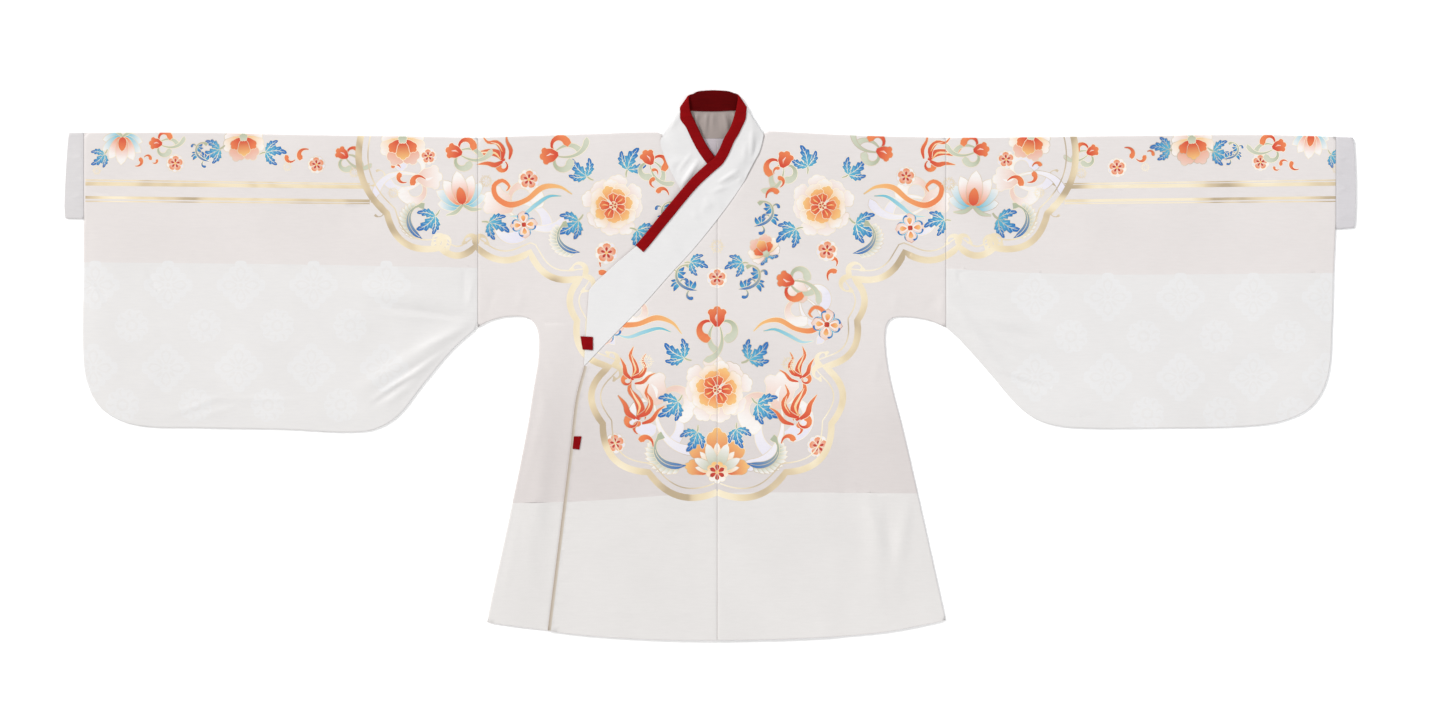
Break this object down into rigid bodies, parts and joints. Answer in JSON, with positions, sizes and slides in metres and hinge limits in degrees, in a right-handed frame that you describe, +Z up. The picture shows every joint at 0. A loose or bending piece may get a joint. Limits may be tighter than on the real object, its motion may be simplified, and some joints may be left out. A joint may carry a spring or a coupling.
{
  "type": "cross-collar jacket",
  "caption": "Cross-collar jacket with wide lute-shaped sleeves, laid flat: flared body, crossed white collar with a red guard strip, narrow cuffs and red tie ends.",
  "frame": {"origin": "centre of the bounding box's bottom, on the surface that the jacket lies on", "axes": "+X from the wearer's right sleeve to the left one, +Y from the hem to the collar, +Z up from the surface through the cloth"},
  "size_m": [1.806, 0.7696, 0.011],
  "materials": {
    "upper_cloth": "ivory satin brocade, whiter below",
    "cuff_cloth": "pale bluish white lining cloth",
    "collar_cloth": "plain white satin",
    "red_cloth": "dark red cloth"
  },
  "bodies": {
    "root": {"body_left": "upper_cloth", "body_right": "upper_cloth", "front_overlap": "upper_cloth", "inner_overlap": "upper_cloth", "sleeve_left": "upper_cloth", "sleeve_right": "upper_cloth", "cuff_left": "cuff_cloth", "cuff_right": "cuff_cloth", "collar": "collar_cloth", "collar_guard": "red_cloth", "tie_upper": "red_cloth", "tie_lower": "red_cloth"}
  },
  "joints": []
}
